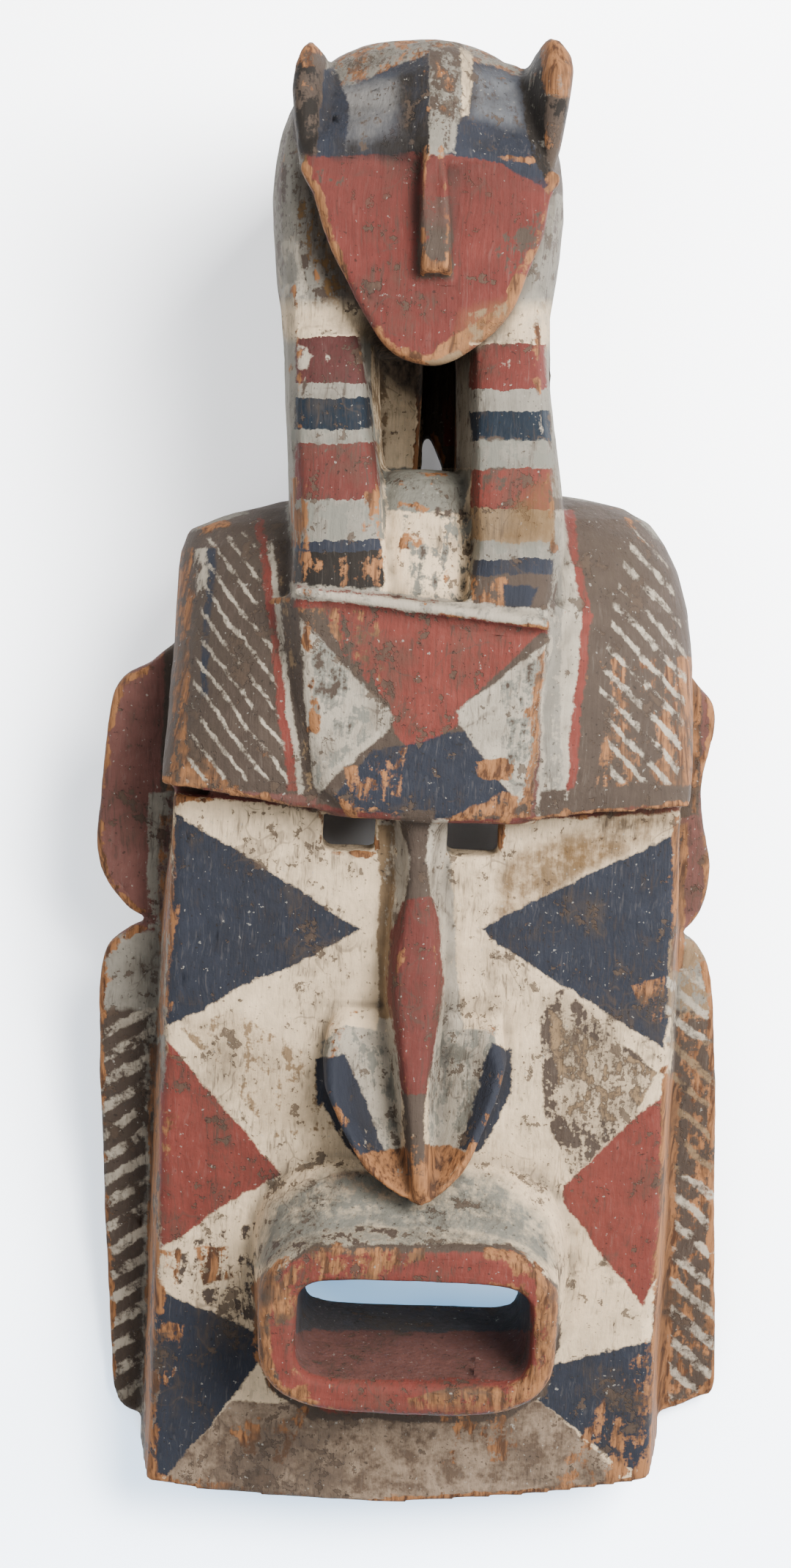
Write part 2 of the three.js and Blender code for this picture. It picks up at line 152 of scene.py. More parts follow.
proud = ((at - spread(at, 6)) * facing).sum(axis=1)
proud = spread(proud[:, None], 1)[:, 0]
tree_of_faces = BVHTree.FromPolygons([Vector(p) for p in at], [tuple(p.vertices) for p in baked.polygons])
open_above = np.zeros(len(at))
for i, (point, normal) in enumerate(zip(at, facing)):
    if normal[2] > FACES_DOWN:
        start = Vector(point) + Vector(normal) * 0.0008 + Vector((0.0, 0.0, 0.0004))
        if tree_of_faces.ray_cast(start, Vector((0.0, 0.0, 1.0)))[0] is None:
            open_above[i] = 1.0
open_above = spread(open_above[:, None], 3)[:, 0]
for name, values in (("edge", np.clip(proud / PROUD_FULL, 0.0, 1.0)),
                     ("hollow_dark", np.clip(-proud / HOLLOW_FULL, 0.0, 1.0)),
                     ("seen", np.clip(open_above, 0.0, 1.0))):
    layer = baked.attributes.new(name, "FLOAT", "POINT")
    layer.data.foreach_set("value", values.astype(np.float32))

# Paint. Earth colours laid on in flat shapes over a pale ground, rubbed through to the wood on
# every edge. The shapes are drawn on a sheet 1009 wide and 2000 high that lies over the mask as
# it is seen from straight above, so the object's coordinates are first carried onto that sheet.

SHEET_PER_METRE = 3540.0
SHEET_MIDDLE = (504.5, 1000.3)

# The sheet is parted into fields, and every field has a paint that holds only the shapes near it

COLUMNS = (-900, 380, 560, 700, 1900)
ROWS = (-900, 200, 440, 640, 800, 1000, 1180, 1360, 1540, 1700, 2900)
REACH = 24.0
FLAPS_TOP = 800

# Down the flaps the ground is red, pale from the first of these levels, and brown from the second

FLAP_PALE = 1188.0
FLAP_BROWN = 1284.0

# A hand-drawn edge wanders and frays by this much, in sheet units, and a glaze ends this softly

WANDER = 14.0
FRAY = 12.0
COAT_EDGE = 1.4
GLAZE_EDGE = 9.0

# Paints

RED = (0.185, 0.043, 0.032)
DEEP_RED = (0.130, 0.034, 0.027)
LEG_RED = (0.085, 0.027, 0.024)
CREST_RED = (0.145, 0.033, 0.026)
DULL_RED = (0.150, 0.063, 0.051)
NAVY = (0.026, 0.029, 0.040)
DEEP_NAVY = (0.012, 0.019, 0.029)
# navy lightened partly by wear and partly as painted sheen
WORN_SHEEN_NAVY = (0.175, 0.180, 0.190)
CREAM = (0.78, 0.595, 0.385)
WHITE = (0.44, 0.38, 0.295)
PALE = (0.265, 0.240, 0.195)
GREY = (0.205, 0.196, 0.160)
BROWN = (0.074, 0.053, 0.040)
DARK = (0.020, 0.016, 0.013)
MOUTH_DARK = (0.060, 0.052, 0.052)
RAW = (0.34, 0.150, 0.060)
TAN = (0.25, 0.165, 0.090)
STAIN = (0.150, 0.082, 0.030)
FRESH = (0.30, 0.140, 0.055)

# Wood and wear

WOOD_GRAIN = (0.085, 0.038, 0.019)
WOOD_SOILED = (0.085, 0.048, 0.029)
OLD_FLECK = (0.095, 0.064, 0.044)
CRUST_LOW = (0.105, 0.070, 0.047)
CRUST_HIGH = (0.31, 0.225, 0.155)
CRUST_SOILED = (0.15, 0.105, 0.075)
SOILED_COAT = (0.10, 0.074, 0.052)
SCUFF = (0.058, 0.042, 0.032)
PALE_SCRATCH = (0.36, 0.31, 0.26)
PALE_SPECK = (0.45, 0.42, 0.36)
BARE_LOW = (0.085, 0.056, 0.038)
BARE_HIGH = (0.17, 0.125, 0.085)

# Painted shapes, from the lowest coat to the last: tone, corners, how much of the shape is covered
# and, where it matters, the lowest and highest reach of the paint above the floor. A cover below
# zero is a thin glaze of that strength, with a soft edge.

COATS = [
    # crest: stained pale body, blue brow with a worn ridge, dark ears with raw tips, red face
    (PALE, [(335, 40), (740, 40), (730, 640), (355, 640)], 1.0),
    (BROWN, [(335, 90), (400, 150), (480, 430), (345, 430)], 0.45),
    (BROWN, [(700, 200), (730, 200), (716, 400), (690, 400)], 0.35),
    (BROWN, [(372, 150), (400, 190), (478, 430), (452, 430), (392, 330)], -0.6),
    (STAIN, [(372, 150), (392, 190), (452, 400), (430, 400), (380, 300)], 0.4),
    (WHITE, [(352, 300), (378, 300), (400, 400), (360, 400)], 0.5),
    (CREAM, [(350, 388), (470, 388), (500, 430), (350, 430)], -0.85),
    (CREAM, [(640, 388), (722, 388), (716, 440), (600, 440)], -0.85),
    (RAW, [(430, 50), (700, 50), (690, 112), (430, 112)], 0.5),
    (NAVY, [(432, 112), (552, 68), (560, 197), (396, 200)], 1.0),
    # a pale glaze and the lighter navy on the left forehead slope: partly wear, partly painted sheen
    (WHITE, [(430, 114), (508, 104), (512, 172), (444, 180)], -0.45),
    (WORN_SHEEN_NAVY, [(424, 108), (512, 98), (516, 184), (436, 190)], -0.5),
    (DARK, [(505, 92), (550, 74), (556, 197), (498, 197)], -0.75),
    (NAVY, [(598, 74), (668, 98), (706, 246), (560, 195)], 1.0),
    # lighter navy on the right forehead slope: partly wear, partly painted sheen
    (WORN_SHEEN_NAVY, [(606, 90), (658, 104), (670, 162), (604, 150)], -0.65),
    (PALE, [(548, 62), (600, 62), (580, 197), (548, 197)], 1.0),
    (BROWN, [(548, 62), (590, 62), (574, 197), (548, 197)], 0.55),
    (RAW, [(556, 80), (584, 80), (578, 160), (562, 160)], 0.3),
    (CREAM, [(588, 62), (604, 68), (598, 150), (588, 150)], 0.9),
    (DARK, [(366, 110), (404, 110), (400, 198), (380, 198)], 0.9),
    (BROWN, [(366, 40), (425, 40), (410, 112), (366, 112)], 0.9),
    (RAW, [(384, 48), (412, 56), (408, 78), (386, 80)], 0.6),
    (NAVY, [(402, 92), (428, 84), (446, 140), (436, 198), (400, 198)], 0.85),
    (BROWN, [(690, 120), (740, 120), (718, 250), (702, 250)], 1.0),
    (DARK, [(662, 90), (692, 50), (698, 130), (704, 246), (680, 200)], 0.7),
    (RAW, [(690, 46), (740, 60), (730, 130), (694, 118)], 0.66),
    (CREST_RED, [(392, 198), (545, 195), (640, 210), (708, 249), (700, 310), (672, 378), (634, 436),
                 (590, 466), (548, 478), (500, 460), (438, 378), (404, 300)], 1.0, 0.183),
    # deep red along the top of the crest's face: painted shade under the overhanging brow
    (DEEP_RED, [(392, 198), (545, 195), (640, 210), (708, 249), (420, 222)], 0.7, 0.183),
    (RAW, [(560, 440), (655, 380), (668, 398), (600, 470), (530, 474)], 0.75, 0.183),
    (BROWN, [(640, 300), (690, 270), (684, 320), (650, 350)], 0.4, 0.183),
    (BROWN, [(528, 250), (580, 250), (580, 362), (528, 362)], 0.6, 0.205),
    # between the legs: a pale post painted brighter as painted light, a dark one painted as shade in the
    # recess, and the keel
    (CREAM, [(470, 440), (540, 440), (540, 606), (470, 606)], 1.0, -1.0, 0.15),
    (TAN, [(470, 440), (492, 440), (492, 606), (478, 606)], 0.5, -1.0, 0.15),
    (BROWN, [(538, 440), (582, 440), (582, 606), (560, 606), (538, 560)], 1.0, -1.0, 0.15),
    (DEEP_RED, [(560, 440), (582, 440), (582, 570), (566, 570)], 0.6, -1.0, 0.15),
    (CREAM, [(488, 598), (602, 598), (604, 782), (486, 768)], 1.0),
    # grey painted shade along the keel's top, where it curves away from the light
    (GREY, [(488, 598), (602, 598), (590, 655), (494, 655)], 0.85),
    (BROWN, [(555, 650), (575, 650), (570, 770), (548, 770)], 0.45),
    # dome: brown, with a red and a pale strip on both sides of the raised band
    (BROWN, [(215, 690), (365, 632), (400, 1012), (205, 1010)], 1.0),
    (BROWN, [(700, 632), (800, 648), (895, 740), (895, 1042), (690, 1048)], 1.0),
    (RAW, [(228, 700), (246, 700), (236, 1000), (218, 1000)], 0.6),
    (RAW, [(222, 940), (260, 960), (300, 1012), (212, 1010)], 0.6),
    (NAVY, [(262, 700), (274, 700), (264, 890), (256, 890)], 0.8),
    (WHITE, [(250, 700), (264, 700), (262, 760), (248, 760)], 0.5),
    (RED, [(326, 660), (338, 660), (379, 1008), (366, 1008)], 0.95),
    (WHITE, [(340, 690), (348, 690), (387, 1012), (379, 1012)], 0.9),
    # brown, dark and tan strips: painted shade on the raised band's left slanted side
    (BROWN, [(348, 690), (376, 760), (408, 1014), (388, 1014)], 1.0),
    (DARK, [(356, 700), (372, 760), (402, 1014), (392, 1014)], 0.35),
    (TAN, [(352, 700), (366, 760), (398, 1014), (390, 1014)], 0.45),
    (WHITE, [(708, 650), (724, 650), (746, 790), (724, 1040), (684, 1046), (696, 800)], 1.0),
    (PALE, [(704, 660), (716, 660), (716, 1040), (690, 1046), (698, 800)], 0.6),
    (RED, [(718, 650), (731, 650), (755, 790), (744, 790)], 0.95),
    (RED, [(743, 784), (755, 784), (733, 1010), (722, 1010)], 0.95),
    (RAW, [(780, 840), (885, 840), (885, 1030), (760, 1010)], 0.42),
    (RAW, [(868, 840), (895, 840), (890, 1040), (862, 1036)], 0.85),
    (BROWN, [(690, 1008), (885, 1000), (885, 1042), (690, 1048)], 0.8),
    # raised band
    (BROWN, [(376, 762), (702, 796), (676, 1056), (404, 1030)], 1.0),
    (RAW, [(380, 770), (402, 772), (404, 860), (384, 800)], 0.5),
    (RED, [(432, 778), (694, 806), (584, 908), (500, 910)], 1.0),
    (RED, [(496, 900), (592, 900), (580, 930), (530, 962), (502, 936)], 1.0),
    (RED, [(410, 776), (470, 780), (500, 905), (440, 836)], 0.6),
    (RAW, [(400, 776), (480, 782), (496, 880), (440, 830)], 0.42),
    (WHITE, [(382, 790), (502, 914), (492, 934), (406, 1010), (398, 1000)], 1.0),
    (PALE, [(396, 800), (440, 850), (440, 960), (404, 1000)], 0.55),
    (WHITE, [(698, 824), (580, 910), (584, 926), (662, 1026), (680, 1010)], 1.0),
    (PALE, [(690, 840), (640, 870), (640, 960), (660, 1020), (676, 1010)], 0.4),
    (RAW, [(686, 840), (696, 830), (680, 1020), (668, 1024)], 0.75),
    (NAVY, [(425, 1014), (476, 956), (592, 936), (654, 1018), (560, 1046), (450, 1034)], 0.93),
    (RAW, [(440, 980), (520, 950), (510, 1040), (440, 1030)], 0.42),
    (RAW, [(640, 1010), (680, 1020), (676, 1050), (560, 1050)], 0.6),
    (RED, [(374, 760), (700, 796), (700, 808), (374, 774)], 0.7),
    (WHITE, [(370, 744), (702, 779), (702, 800), (370, 764)], 0.95),
    # face board
    (CREAM, [(222, 1000), (868, 1026), (862, 1200), (838, 1892), (190, 1892)], 1.0, -1.0, 0.147),
    (DEEP_RED, [(222, 1002), (500, 1037), (500, 1046), (222, 1013)], 0.95),
    (DEEP_RED, [(560, 1048), (868, 1028), (868, 1036), (560, 1055)], 0.85),
    (STAIN, [(636, 1112), (660, 1084), (720, 1072), (766, 1070), (800, 1084), (676, 1160),
             (634, 1172)], -0.72),
    (STAIN, [(700, 1080), (724, 1064), (770, 1040), (868, 1034), (868, 1060), (740, 1112)], -0.6),
    (STAIN, [(236, 1300), (300, 1290), (420, 1370), (400, 1440), (330, 1440)], -0.22),
    (BROWN, [(690, 1270), (720, 1262), (838, 1370), (800, 1440), (730, 1500), (694, 1420)], -0.3),
    (BROWN, [(690, 1270), (720, 1262), (838, 1370), (800, 1440), (730, 1500), (694, 1420)], 0.52),
    (TAN, [(700, 1290), (838, 1370), (800, 1440), (720, 1420)], 0.4),
    (TAN, [(230, 1310), (300, 1290), (420, 1360), (440, 1440), (350, 1450)], 0.35),
    (BROWN, [(205, 1590), (330, 1560), (330, 1690), (205, 1640)], 0.38),
    (RAW, [(250, 1590), (290, 1590), (300, 1630), (262, 1640)], 0.6),
    (PALE, [(190, 1010), (222, 1010), (200, 1892), (180, 1892)], 0.6),
    (NAVY, [(226, 1036), (462, 1188), (212, 1308), (216, 1170)], 1.0),
    (NAVY, [(872, 1058), (642, 1166), (616, 1184), (636, 1206), (846, 1338), (872, 1200)], 1.0),
    (RAW, [(806, 1256), (846, 1248), (848, 1282), (842, 1306), (826, 1300)], 0.52),
    (RED, [(212, 1328), (358, 1497), (204, 1592), (200, 1450)], 1.0),
    (CREAM, [(204, 1590), (346, 1512), (350, 1520), (206, 1600)], 0.8),
    (RED, [(850, 1392), (720, 1512), (720, 1536), (820, 1668), (840, 1620)], 1.0),
    (NAVY, [(190, 1638), (332, 1702), (334, 1738), (212, 1886), (184, 1880)], 1.0),
    (RAW, [(200, 1680), (236, 1690), (216, 1770), (194, 1760)], 0.45),
    (NAVY, [(700, 1744), (848, 1706), (838, 1880), (790, 1870), (682, 1784)], 1.0),
    ("mottled", [(296, 1788), (690, 1788), (776, 1868), (832, 1928), (186, 1928), (216, 1876)], 1.0),
    (RAW, [(186, 1880), (320, 1895), (500, 1930), (186, 1930)], 0.5),
    (RAW, [(800, 1740), (850, 1700), (850, 1928), (680, 1928)], 0.42),
    (TAN, [(852, 1190), (935, 1190), (935, 1300), (852, 1300)], 0.5),
    (RAW, [(866, 1290), (935, 1290), (930, 1810), (846, 1810)], 0.42),
    (RAW, [(858, 1050), (876, 1050), (872, 1240), (856, 1240)], 0.75),
    (RAW, [(846, 1370), (868, 1370), (852, 1892), (826, 1892)], 0.9),
    (RAW, [(206, 1040), (226, 1040), (214, 1320), (202, 1320)], 0.55),
    # nose
    (WHITE, [(484, 1046), (572, 1046), (590, 1330), (484, 1330)], 0.8),
    # tan painted shade on the nose ridge's left side
    (TAN, [(482, 1050), (504, 1050), (502, 1300), (484, 1300)], 0.7),
    (BROWN, [(510, 1036), (556, 1036), (542, 1100), (522, 1100)], 0.95),
    (BROWN, [(522, 1090), (542, 1090), (552, 1152), (516, 1152)], 0.9),
    # nose wings: white, with grey painted shade in the hollows between wings and ridge
    (WHITE, [(410, 1330), (440, 1310), (512, 1320), (512, 1500), (490, 1490), (414, 1400)], 1.0),
    (GREY, [(410, 1330), (440, 1310), (500, 1320), (512, 1500), (490, 1490), (414, 1400)], 0.45),
    (WHITE, [(548, 1310), (630, 1316), (640, 1400), (580, 1490), (548, 1500)], 1.0),
    (GREY, [(560, 1316), (630, 1316), (640, 1400), (580, 1490), (550, 1500), (548, 1400)], 0.45),
    (NAVY, [(404, 1352), (440, 1346), (458, 1388), (404, 1412)], 1.0),
    (NAVY, [(404, 1392), (456, 1380), (494, 1474), (478, 1500), (436, 1456)], 0.9),
    (NAVY, [(628, 1332), (652, 1340), (654, 1396), (606, 1402)], 1.0),
    (NAVY, [(606, 1398), (654, 1394), (610, 1470), (584, 1466)], 0.9),
    (DEEP_RED, [(513, 1150), (553, 1146), (563, 1190), (565, 1250), (544, 1402), (514, 1402),
                (494, 1262), (500, 1190)], 1.0),
    (BROWN, [(514, 1396), (544, 1396), (540, 1480), (518, 1480)], 0.8),
    (RAW, [(464, 1476), (606, 1452), (604, 1492), (560, 1540), (500, 1540)], 0.75, 0.132),
    # orange-brown glaze: painted shadow of the nose beside its lower left flank
    (RAW, [(404, 1418), (476, 1490), (520, 1545), (420, 1520)], -0.8, 0.1),
    # mouth
    (GREY, [(330, 1612), (348, 1536), (410, 1500), (540, 1488), (640, 1502), (696, 1560),
            (704, 1612)], -0.9, -1.0, 0.131),
    (GREY, [(340, 1562), (400, 1550), (640, 1550), (700, 1594), (704, 1612), (330, 1612)], -0.75),
    (BROWN, [(326, 1590), (400, 1560), (560, 1572), (560, 1606), (326, 1640)], 0.42),
    (BROWN, [(322, 1640), (400, 1588), (650, 1588), (712, 1640), (716, 1720), (696, 1780), (640, 1815),
             (400, 1812), (343, 1770), (322, 1700)], 0.95),
    (RAW, [(322, 1640), (350, 1610), (350, 1780), (322, 1720)], 0.62),
    (RED, [(345, 1650), (365, 1612), (400, 1598), (650, 1598), (690, 1620), (700, 1660), (700, 1730),
           (676, 1785), (620, 1803), (420, 1803), (360, 1775), (345, 1730)], 1.0),
    (RAW, [(338, 1640), (400, 1592), (540, 1592), (540, 1606), (352, 1690)], 0.5, 0.13),
    (RAW, [(684, 1610), (712, 1650), (706, 1760), (684, 1780)], 0.62, 0.13),
    (RAW, [(520, 1784), (690, 1740), (706, 1760), (640, 1810), (520, 1810)], 0.62, 0.13),
    (MOUTH_DARK, [(376, 1636), (690, 1636), (690, 1700), (376, 1700)], 1.0, 0.0, 0.128),
    (DULL_RED, [(376, 1698), (690, 1698), (690, 1760), (376, 1760)], 1.0, 0.0, 0.128),
]

# Shapes that lie over the wear, told the same way: ears, brow, shield face, legs, band, cheeks,
# bar, nose and tip

LAST_COATS = [
    (BROWN, [(372, 100), (392, 62), (414, 74), (404, 196), (378, 196)], 0.85),
    (DARK, [(372, 100), (392, 62), (410, 74), (404, 196), (378, 196)], 0.5),
    (RAW, [(388, 50), (406, 54), (402, 84), (386, 84)], 0.5),
    (BROWN, [(696, 128), (738, 118), (716, 206), (700, 206)], 0.85),
    (DARK, [(696, 128), (738, 118), (716, 206), (700, 206)], 0.42),
    (NAVY, [(426, 146), (512, 136), (514, 197), (428, 197)], -0.5),
    (DARK, [(430, 178), (540, 170), (540, 200), (430, 200)], -0.7),
    (BROWN, [(440, 106), (520, 96), (540, 190), (450, 190)], 0.26),
    (DARK, [(532, 176), (548, 176), (548, 198), (532, 198)], 0.7),
    (PALE, [(549, 178), (566, 178), (566, 199), (549, 199)], 0.75),
    (BROWN, [(590, 80), (660, 96), (690, 210), (600, 190)], 0.24),
    # dark red glaze under the brow: painted shade
    (DEEP_RED, [(396, 200), (700, 236), (640, 300), (420, 260)], -0.35, 0.183),
    (BROWN, [(404, 216), (440, 212), (446, 238), (412, 238)], 0.34, 0.183),
    (BROWN, [(664, 280), (694, 282), (692, 318), (676, 308)], 0.36, 0.183),
    (BROWN, [(626, 310), (658, 316), (664, 354), (640, 342)], 0.34, 0.183),
    (FRESH, [(590, 396), (660, 376), (656, 412), (600, 456), (580, 436)], -0.35, 0.183),
    (TAN, [(596, 400), (648, 384), (640, 412), (600, 440)], 0.45, 0.183),
    (TAN, [(530, 462), (588, 446), (600, 462), (556, 478)], 0.5, 0.183),
    (WHITE, [(380, 438), (396, 438), (392, 470), (380, 470)], 0.5),
    (WHITE, [(372, 432), (492, 432), (492, 640), (372, 640)], 0.10),
    (WHITE, [(600, 440), (706, 440), (708, 640), (600, 640)], 0.10),
    (BROWN, [(372, 640), (492, 640), (492, 688), (372, 688)], 0.30),
    (BROWN, [(372, 484), (480, 484), (480, 508), (372, 508)], 0.26),
    (BROWN, [(372, 544), (486, 544), (486, 640), (372, 640)], 0.17),
    (BROWN, [(600, 556), (708, 556), (708, 600), (600, 600)], 0.36),
    (BROWN, [(600, 600), (708, 600), (708, 720), (600, 720)], 0.22),
    (GREY, [(372, 640), (492, 640), (492, 690), (372, 690)], 0.5),
    (GREY, [(600, 690), (708, 690), (708, 712), (600, 712)], 0.5),
    (GREY, [(372, 545), (486, 545), (486, 562), (372, 562)], 0.5),
    (GREY, [(600, 560), (708, 560), (708, 597), (600, 597)], 0.5),
    (RAW, [(372, 610), (396, 610), (392, 700), (372, 700)], 0.5),
    (GREY, [(396, 806), (474, 880), (474, 940), (404, 1000)], 0.48),
    (BROWN, [(398, 812), (440, 850), (450, 940), (406, 990)], 0.36),
    (GREY, [(640, 872), (690, 842), (676, 1004), (650, 1000)], 0.46),
    (BROWN, [(640, 872), (690, 842), (676, 1004), (650, 1000)], 0.30),
    (GREY, [(516, 660), (602, 660), (602, 768), (516, 768)], 0.44),
    (BROWN, [(536, 690), (600, 680), (600, 768), (536, 768)], 0.30),
    (RAW, [(296, 1790), (400, 1790), (360, 1866), (290, 1860)], 0.36),
    (RAW, [(560, 1800), (660, 1796), (660, 1866), (560, 1866)], 0.34),
    (RAW, [(192, 1330), (206, 1330), (198, 1892), (182, 1892)], 0.62),
    (RAW, [(196, 1592), (232, 1592), (228, 1640), (196, 1650)], 0.5),
    (RAW, [(846, 1380), (866, 1380), (850, 1880), (832, 1880)], 0.62),
    (RAW, [(374, 704), (490, 704), (490, 750), (374, 750)], 0.34),
    (BROWN, [(600, 732), (708, 732), (708, 786), (600, 786)], 0.5),
    (RAW, [(600, 736), (650, 736), (640, 780), (600, 778)], 0.45),
    (NAVY, [(640, 744), (684, 748), (676, 776), (644, 772)], 0.8),
    (STAIN, [(660, 640), (708, 600), (708, 690), (640, 690)], -0.5),
    (PALE, [(372, 745), (700, 779), (700, 799), (372, 764)], 0.8),
    (WHITE, [(372, 745), (700, 779), (700, 799), (372, 764)], 0.62),
    (DEEP_RED, [(376, 748), (560, 767), (560, 770), (376, 751)], 0.6),
    (DEEP_RED, [(480, 776), (660, 797), (660, 800), (480, 779)], 0.6),
    (NAVY, [(404, 1352), (440, 1346), (458, 1388), (404, 1412)], 0.85, 0.1),
    (NAVY, [(404, 1392), (456, 1380), (480, 1452), (462, 1476), (436, 1452)], 0.66, 0.1),
    (NAVY, [(628, 1332), (652, 1340), (654, 1396), (606, 1402)], 0.85, 0.1),
    (NAVY, [(606, 1398), (654, 1394), (616, 1458), (592, 1456)], 0.7, 0.1),
    (RAW, [(450, 1484), (480, 1466), (570, 1462), (596, 1470), (548, 1540), (500, 1540)], 0.8, 0.120),
    (BROWN, [(516, 1396), (542, 1396), (542, 1500), (518, 1500)], 0.55, 0.120),
]

# Sets of pale diagonal strokes: where they lie, which way they run, pitch and share of the pitch

STROKES = [
    (WHITE, [(262, 690), (330, 672), (366, 998), (236, 998)], (-0.80, 0.60), 21.0, 0.22),
    (WHITE, [(742, 655), (800, 664), (852, 720), (878, 840), (866, 1000), (740, 1000), (766, 870)],
     (-0.72, 0.69), 21.5, 0.30),
    (WHITE, [(100, 1284), (200, 1284), (200, 1830), (120, 1830)], (0.50, 0.86), 27.0, 0.44),
    (WHITE, [(850, 1236), (930, 1236), (930, 1330), (850, 1330)], (-0.64, 0.77), 29.0, 0.36),
    (WHITE, [(850, 1500), (930, 1500), (930, 1810), (850, 1810)], (-0.64, 0.77), 29.0, 0.36),
    (TAN, [(850, 1330), (930, 1330), (930, 1500), (850, 1500)], (-0.64, 0.77), 29.0, 0.26),
]

# Bands down the front legs: where each one begins on the sheet, and its tone

BANDS_TOP = 400.0
BANDS_END = 800.0
BANDS = [
    ([(378, 428), (458, 424), (480, 560), (490, 752), (372, 752)],
     [(400, CREAM), (428, LEG_RED), (486, PALE), (506, DEEP_NAVY), (544, PALE), (564, DEEP_RED),
      (636, PALE), (690, NAVY), (704, DARK)]),
    ([(600, 436), (696, 436), (708, 700), (698, 786), (600, 772)],
     [(400, CREAM), (438, CREST_RED), (494, PALE), (522, DEEP_NAVY), (560, PALE), (597, RED),
      (648, TAN), (690, PALE), (712, NAVY), (732, BROWN)]),
]


def paint_zone(name, left, top, right, bottom):
    """The paint of one field of the sheet, with the shapes that reach into it."""
    paint = bpy.data.materials.new(name)
    paint.use_nodes = True
    tree = paint.node_tree
    tree.nodes.clear()

    def put(kind, inputs=(), **settings):
        made = tree.nodes.new(kind)
        for key, setting in settings.items():
            setattr(made, key, setting)
        for key, given in dict(inputs).items():
            if isinstance(given, bpy.types.NodeSocket):
                tree.links.new(given, made.inputs[key])
            else:
                made.inputs[key].default_value = given
        return made

    def sums(operation, a, b=0.0, clamp=False):
        return put("ShaderNodeMath", {0: a, 1: b}, operation=operation, use_clamp=clamp).outputs[0]

    def vectors(operation, a, b=(0.0, 0.0, 0.0), c=(0.0, 0.0, 0.0)):
        return put("ShaderNodeVectorMath", {0: a, 1: b, 2: c}, operation=operation).outputs[0]

    def step_between(amount, low, high):
        return put("ShaderNodeMapRange", {0: amount, 1: low, 2: high, 3: 0.0, 4: 1.0}).outputs[0]

    def clouds(where, scale, detail, roughness):
        wanted = {"Vector": where, "Scale": scale, "Detail": detail, "Roughness": roughness}
        return put("ShaderNodeTexNoise", wanted)

    def blend(amount, under, over):
        wanted = {0: amount, 6: under, 7: over}
        for key in (6, 7):
            if isinstance(wanted[key], tuple) and len(wanted[key]) == 3:
                wanted[key] = (*wanted[key], 1.0)
        return put("ShaderNodeMix", wanted, data_type="RGBA").outputs[2]

    # Where a point lies on the sheet; a hand-drawn edge wanders a little, and rubbing frays it

    place = put("ShaderNodeTexCoord").outputs["Object"]
    turned = put("ShaderNodeVectorRotate", {"Vector": vectors("SUBTRACT", place, CAMERA_AT),
                                            "Angle": -CAMERA_ROLL}, rotation_type="Z_AXIS").outputs[0]
    parts = put("ShaderNodeSeparateXYZ", {0: turned})
    down = sums("MULTIPLY", parts.outputs[2], -1.0)
    across = put("ShaderNodeMath", {0: sums("DIVIDE", parts.outputs[0], down), 1: SHEET_PER_METRE,
                                    2: SHEET_MIDDLE[0]}, operation="MULTIPLY_ADD").outputs[0]
    along = put("ShaderNodeMath", {0: sums("DIVIDE", parts.outputs[1], down), 1: -SHEET_PER_METRE,
                                   2: SHEET_MIDDLE[1]}, operation="MULTIPLY_ADD").outputs[0]
    sheet = put("ShaderNodeCombineXYZ", {0: across, 1: along}).outputs[0]
    broad = clouds(place, 34.0, 2.0, 0.5)
    fray = clouds(place, 190.0, 3.0, 0.75)
    wander = vectors("MULTIPLY_ADD", broad.outputs["Color"], (WANDER, WANDER, 0.0),
                     (-WANDER / 2.0, -WANDER / 2.0, 0.0))
    frayed = vectors("MULTIPLY_ADD", fray.outputs["Color"], (FRAY, FRAY, 0.0),
                     (-FRAY / 2.0, -FRAY / 2.0, 0.0))
    moved = vectors("ADD", sheet, vectors("ADD", wander, frayed))
    drawn = put("ShaderNodeSeparateXYZ", {0: moved})
    all_x = put("ShaderNodeCombineXYZ", {k: drawn.outputs[0] for k in range(3)}).outputs[0]
    all_y = put("ShaderNodeCombineXYZ", {k: drawn.outputs[1] for k in range(3)}).outputs[0]

    def inside(corners, soft=COAT_EDGE):
        """1 inside a convex shape on the sheet, 0 outside it."""
        loop = list(zip(corners, corners[1:] + corners[:1]))
        area = sum(x0 * y1 - x1 * y0 for (x0, y0), (x1, y1) in loop)
        turn = 1.0 if area > 0 else -1.0
        lines = []
        for (x0, y0), (x1, y1) in loop:
            length = math.hypot(x1 - x0, y1 - y0)
            nx = -(y1 - y0) / length * turn
            ny = (x1 - x0) / length * turn
            lines.append((nx, ny, -(nx * x0 + ny * y0)))
        while len(lines) % 3:
            lines.append(lines[0])
        least = None
        for i in range(0, len(lines), 3):
            three = lines[i:i + 3]
            held = vectors("MULTIPLY_ADD", all_y, tuple(l[1] for l in three), tuple(l[2] for l in three))
            held = vectors("MULTIPLY_ADD", all_x, tuple(l[0] for l in three), held)
            least = held if least is None else vectors("MINIMUM", least, held)
        xyz = put("ShaderNodeSeparateXYZ", {0: least})
        low = sums("MINIMUM", sums("MINIMUM", xyz.outputs[0], xyz.outputs[1]), xyz.outputs[2])
        return step_between(low, -soft, soft)

    def in_zone(corners):
        xs = [x for x, y in corners]
        ys = [y for x, y in corners]
        return (max(xs) > left - REACH and min(xs) < right + REACH
                and max(ys) > top - REACH and min(ys) < bottom + REACH)

    # Wood: long grain, orange where it is freshly rubbed, brown to black where it is old

